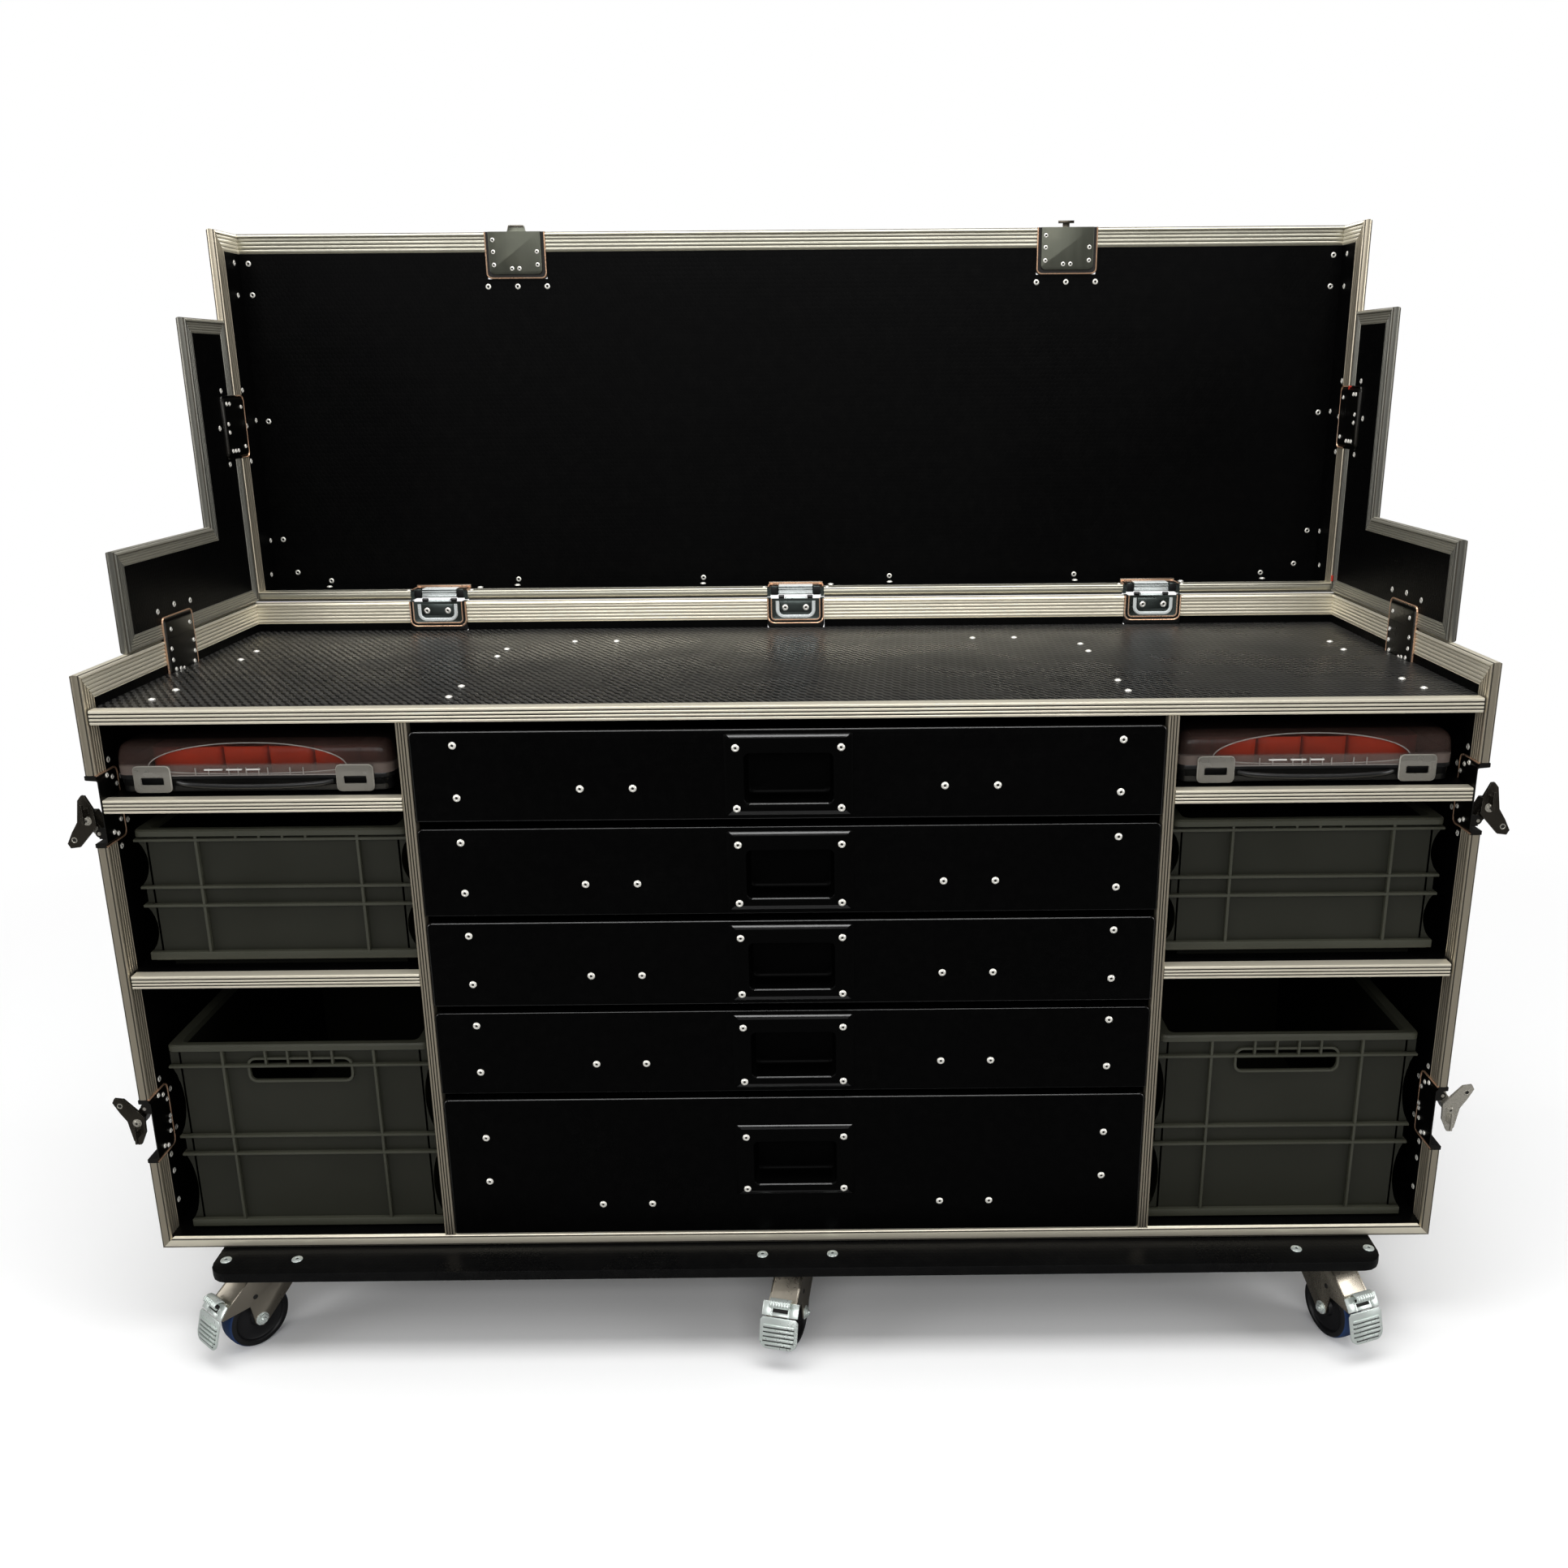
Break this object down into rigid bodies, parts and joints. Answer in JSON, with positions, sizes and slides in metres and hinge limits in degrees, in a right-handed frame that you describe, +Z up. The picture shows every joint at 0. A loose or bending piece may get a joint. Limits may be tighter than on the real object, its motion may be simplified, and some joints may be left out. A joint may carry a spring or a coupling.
{
  "type": "tool flight case",
  "caption": "Wheeled workstation flight case with drawers and crates under a worktop, an upright back lid and stepped side wings.",
  "frame": {"origin": "on the floor, under the middle of the overall bounding box", "axes": "+X to the right across the front, +Y from the open front towards the lid, +Z up"},
  "size_m": [2.0844, 0.9196, 1.7314],
  "materials": {
    "black_board": "birch plywood with a black phenolic film",
    "aluminium_profile": "grooved extrusion, satin",
    "black_front": "smooth black laminate, semi-matt",
    "black_steel": "black powder coat",
    "crate_grey": "grey moulded plastic",
    "tray_black": "black moulded plastic",
    "clear_lid": "clear moulded plastic",
    "zinc_steel": "bright zinc plate",
    "wheel_black_and_blue": "blue rubber tread on a black hub",
    "latch_steel": "nickel plate"
  },
  "bodies": {
    "case": {"base_board": "black_board", "side_board_left": "black_board", "side_board_right": "black_board", "rear_board": "black_board", "worktop": "black_board", "divider_left": "black_board", "divider_right": "black_board", "shelf_left_upper": "black_board", "shelf_left_lower": "black_board", "shelf_right_upper": "black_board", "shelf_right_lower": "black_board", "castor_board": "black_board", "base_frame": "aluminium_profile", "bay_trim": "aluminium_profile"},
    "lid": {"lid_shell": "black_board", "lid_frame": "aluminium_profile"},
    "wing_left": {"wing_board_left": "black_board", "wing_frame_left": "aluminium_profile"},
    "wing_right": {"wing_board_right": "black_board", "wing_frame_right": "aluminium_profile"},
    "drawer_body_1": {"drawer_1": "black_front", "drawer_pull_1": "black_steel"},
    "drawer_body_2": {"drawer_2": "black_front", "drawer_pull_2": "black_steel"},
    "drawer_body_3": {"drawer_3": "black_front", "drawer_pull_3": "black_steel"},
    "drawer_body_4": {"drawer_4": "black_front", "drawer_pull_4": "black_steel"},
    "drawer_body_5": {"drawer_5": "black_front", "drawer_pull_5": "black_steel"},
    "box_left": {"parts_box_left": "tray_black", "parts_box_lid_left": "clear_lid"},
    "box_right": {"parts_box_right": "tray_black", "parts_box_lid_right": "clear_lid"},
    "crate_body_left_upper": {"crate_left_upper": "crate_grey"},
    "crate_body_left_lower": {"crate_left_lower": "crate_grey"},
    "crate_body_right_upper": {"crate_right_upper": "crate_grey"},
    "crate_body_right_lower": {"crate_right_lower": "crate_grey"},
    "fork_front_left": {"castor_fork_front_left": "zinc_steel"},
    "fork_front_centre": {"castor_fork_front_centre": "zinc_steel"},
    "fork_front_right": {"castor_fork_front_right": "zinc_steel"},
    "fork_rear_left": {"castor_fork_rear_left": "zinc_steel"},
    "fork_rear_centre": {"castor_fork_rear_centre": "zinc_steel"},
    "fork_rear_right": {"castor_fork_rear_right": "zinc_steel"},
    "wheel_front_left": {"castor_wheel_front_left": "wheel_black_and_blue"},
    "wheel_front_centre": {"castor_wheel_front_centre": "wheel_black_and_blue"},
    "wheel_front_right": {"castor_wheel_front_right": "wheel_black_and_blue"},
    "wheel_rear_left": {"castor_wheel_rear_left": "wheel_black_and_blue"},
    "wheel_rear_centre": {"castor_wheel_rear_centre": "wheel_black_and_blue"},
    "wheel_rear_right": {"castor_wheel_rear_right": "wheel_black_and_blue"},
    "pedal_front_left": {"brake_pedal_front_left": "zinc_steel"},
    "pedal_front_centre": {"brake_pedal_front_centre": "zinc_steel"},
    "pedal_front_right": {"brake_pedal_front_right": "zinc_steel"},
    "latch_body_left_upper": {"latch_left_upper": "latch_steel"},
    "latch_body_left_lower": {"latch_left_lower": "latch_steel"},
    "latch_body_right_upper": {"latch_right_upper": "latch_steel"},
    "latch_body_right_lower": {"latch_right_lower": "latch_steel"},
    "latch_body_top_left": {"latch_top_left": "latch_steel"},
    "latch_body_top_right": {"latch_top_right": "latch_steel"}
  },
  "joints": [
    {"name": "drawer_1_slide", "type": "slide", "parent": "case", "child": "drawer_body_1", "axis": [0, -1, 0], "range_m": [0, 0.45]},
    {"name": "drawer_2_slide", "type": "slide", "parent": "case", "child": "drawer_body_2", "axis": [0, -1, 0], "range_m": [0, 0.45]},
    {"name": "drawer_3_slide", "type": "slide", "parent": "case", "child": "drawer_body_3", "axis": [0, -1, 0], "range_m": [0, 0.45]},
    {"name": "drawer_4_slide", "type": "slide", "parent": "case", "child": "drawer_body_4", "axis": [0, -1, 0], "range_m": [0, 0.45]},
    {"name": "drawer_5_slide", "type": "slide", "parent": "case", "child": "drawer_body_5", "axis": [0, -1, 0], "range_m": [0, 0.45]},
    {"name": "box_left_pull_out", "type": "slide", "parent": "case", "child": "box_left", "axis": [0, -1, 0], "range_m": [0, 0.4]},
    {"name": "box_right_pull_out", "type": "slide", "parent": "case", "child": "box_right", "axis": [0, -1, 0], "range_m": [0, 0.4]},
    {"name": "crate_left_upper_pull_out", "type": "slide", "parent": "case", "child": "crate_body_left_upper", "axis": [0, -1, 0], "range_m": [0, 0.6]},
    {"name": "crate_left_lower_pull_out", "type": "slide", "parent": "case", "child": "crate_body_left_lower", "axis": [0, -1, 0], "range_m": [0, 0.6]},
    {"name": "crate_right_upper_pull_out", "type": "slide", "parent": "case", "child": "crate_body_right_upper", "axis": [0, -1, 0], "range_m": [0, 0.6]},
    {"name": "crate_right_lower_pull_out", "type": "slide", "parent": "case", "child": "crate_body_right_lower", "axis": [0, -1, 0], "range_m": [0, 0.6]},
    {"name": "wing_left_lift_off", "type": "slide", "parent": "case", "child": "wing_left", "axis": [0, 0, 1], "range_m": [0, 0.5]},
    {"name": "wing_right_lift_off", "type": "slide", "parent": "case", "child": "wing_right", "axis": [0, 0, 1], "range_m": [0, 0.5]},
    {"name": "lid_tilt", "type": "hinge", "parent": "case", "child": "lid", "pos_m": [0, 0.30463, 1.0741], "axis": [-1, 0, 0], "range_deg": [0, 5]},
    {"name": "castor_swivel_front_left", "type": "hinge", "parent": "case", "child": "fork_front_left", "pos_m": [-0.835, -0.33467, 0.13], "axis": [0, 0, 1], "continuous": true},
    {"name": "castor_swivel_front_centre", "type": "hinge", "parent": "case", "child": "fork_front_centre", "pos_m": [0, -0.33467, 0.13], "axis": [0, 0, 1], "continuous": true},
    {"name": "castor_swivel_front_right", "type": "hinge", "parent": "case", "child": "fork_front_right", "pos_m": [0.835, -0.33467, 0.13], "axis": [0, 0, 1], "continuous": true},
    {"name": "castor_swivel_rear_left", "type": "hinge", "parent": "case", "child": "fork_rear_left", "pos_m": [-0.835, 0.21333, 0.13], "axis": [0, 0, 1], "continuous": true},
    {"name": "castor_swivel_rear_centre", "type": "hinge", "parent": "case", "child": "fork_rear_centre", "pos_m": [0, 0.21333, 0.13], "axis": [0, 0, 1], "continuous": true},
    {"name": "castor_swivel_rear_right", "type": "hinge", "parent": "case", "child": "fork_rear_right", "pos_m": [0.835, 0.21333, 0.13], "axis": [0, 0, 1], "continuous": true},
    {"name": "castor_roll_front_left", "type": "hinge", "parent": "fork_front_left", "child": "wheel_front_left", "pos_m": [-0.86071, -0.36532, 0.05], "axis": [0.766, -0.6428, 0], "continuous": true},
    {"name": "castor_roll_front_centre", "type": "hinge", "parent": "fork_front_centre", "child": "wheel_front_centre", "pos_m": [-0.00968, -0.37349, 0.05], "axis": [0.9703, -0.2419, 0], "continuous": true},
    {"name": "castor_roll_front_right", "type": "hinge", "parent": "fork_front_right", "child": "wheel_front_right", "pos_m": [0.84868, -0.37226, 0.05], "axis": [0.9397, 0.342, 0], "continuous": true},
    {"name": "castor_roll_rear_left", "type": "hinge", "parent": "fork_rear_left", "child": "wheel_rear_left", "pos_m": [-0.85378, 0.24865, 0.05], "axis": [-0.8829, -0.4695, 0], "continuous": true},
    {"name": "castor_roll_rear_centre", "type": "hinge", "parent": "fork_rear_centre", "child": "wheel_rear_centre", "pos_m": [0.00557, 0.25294, 0.05], "axis": [-0.9903, 0.1392, 0], "continuous": true},
    {"name": "castor_roll_rear_right", "type": "hinge", "parent": "fork_rear_right", "child": "wheel_rear_right", "pos_m": [0.85254, 0.24928, 0.05], "axis": [-0.8988, 0.4384, 0], "continuous": true},
    {"name": "pedal_front_left_press", "type": "hinge", "parent": "fork_front_left", "child": "pedal_front_left", "pos_m": [-0.90346, -0.41626, 0.085], "axis": [0.766, -0.6428, 0], "range_deg": [0, 20]},
    {"name": "pedal_front_centre_press", "type": "hinge", "parent": "fork_front_centre", "child": "pedal_front_centre", "pos_m": [-0.02576, -0.43801, 0.085], "axis": [0.9703, -0.2419, 0], "range_deg": [0, 20]},
    {"name": "pedal_front_right_press", "type": "hinge", "parent": "fork_front_right", "child": "pedal_front_right", "pos_m": [0.87143, -0.43475, 0.085], "axis": [0.9397, 0.342, 0], "range_deg": [0, 20]},
    {"name": "latch_left_upper_turn", "type": "hinge", "parent": "case", "child": "latch_body_left_upper", "pos_m": [-0.997, -0.32767, 0.8428], "axis": [0, 1, 0], "range_deg": [-15, 23]},
    {"name": "latch_left_lower_turn", "type": "hinge", "parent": "case", "child": "latch_body_left_lower", "pos_m": [-0.997, -0.32767, 0.3982], "axis": [0, 1, 0], "range_deg": [-23, 15]},
    {"name": "latch_right_upper_turn", "type": "hinge", "parent": "case", "child": "latch_body_right_upper", "pos_m": [0.997, -0.32767, 0.8428], "axis": [0, 1, 0], "range_deg": [-23, 15]},
    {"name": "latch_right_lower_turn", "type": "hinge", "parent": "case", "child": "latch_body_right_lower", "pos_m": [0.997, -0.32767, 0.3982], "axis": [0, 1, 0], "range_deg": [-15, 23]},
    {"name": "latch_top_left_turn", "type": "hinge", "parent": "lid", "child": "latch_body_top_left", "pos_m": [-0.528, 0.41463, 1.6984], "axis": [0, 0, 1], "range_deg": [-23, 15]},
    {"name": "latch_top_right_turn", "type": "hinge", "parent": "lid", "child": "latch_body_top_right", "pos_m": [0.528, 0.41463, 1.6984], "axis": [0, 0, 1], "range_deg": [-15, 23]}
  ]
}
